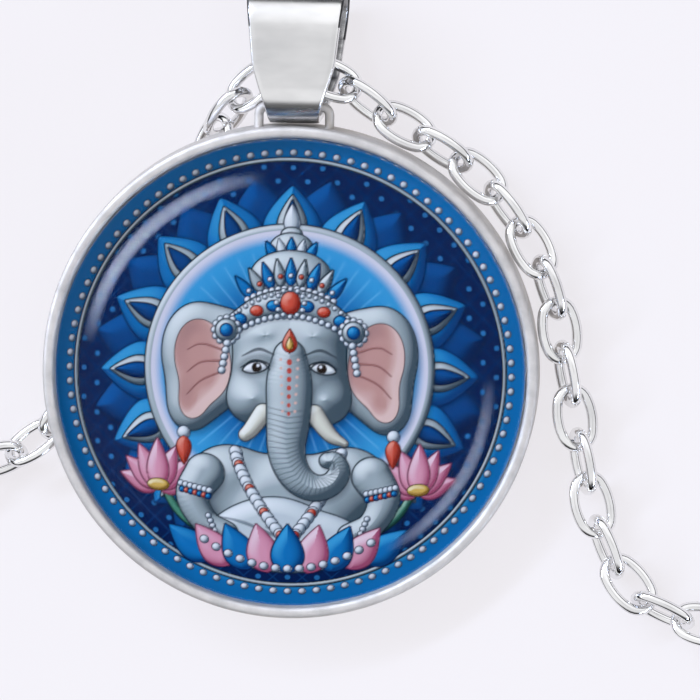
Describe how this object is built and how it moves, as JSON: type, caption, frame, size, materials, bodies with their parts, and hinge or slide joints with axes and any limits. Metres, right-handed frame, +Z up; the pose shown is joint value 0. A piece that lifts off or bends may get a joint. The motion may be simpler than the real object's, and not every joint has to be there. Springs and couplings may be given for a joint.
{
  "type": "ganesha pendant",
  "caption": "Pendant necklace: a clear glass dome over a printed picture disc in a round silver-tone tray, on a folded strap bail with an oval-link chain lying flat.",
  "frame": {"origin": "middle of the tray's back face", "axes": "+Z up, away from the surface that the necklace lies on; +Y from the tray towards its bail; +X to the right as seen from above"},
  "size_m": [0.1369, 0.1343, 0.0079],
  "materials": {
    "plated_casting": "polished silver-tone plating",
    "plated_wire": "bright silver-tone plating",
    "clear_glass": "polished clear glass",
    "printed_paper": "printed paper in blues"
  },
  "bodies": {
    "root": {"tray": "plated_casting", "glass_dome": "clear_glass", "picture_insert": "printed_paper", "bail": "plated_casting", "chain_right": "plated_wire", "chain_left": "plated_wire", "clasp": "plated_wire", "clasp_ring": "plated_wire", "end_ring": "plated_wire"}
  },
  "joints": []
}
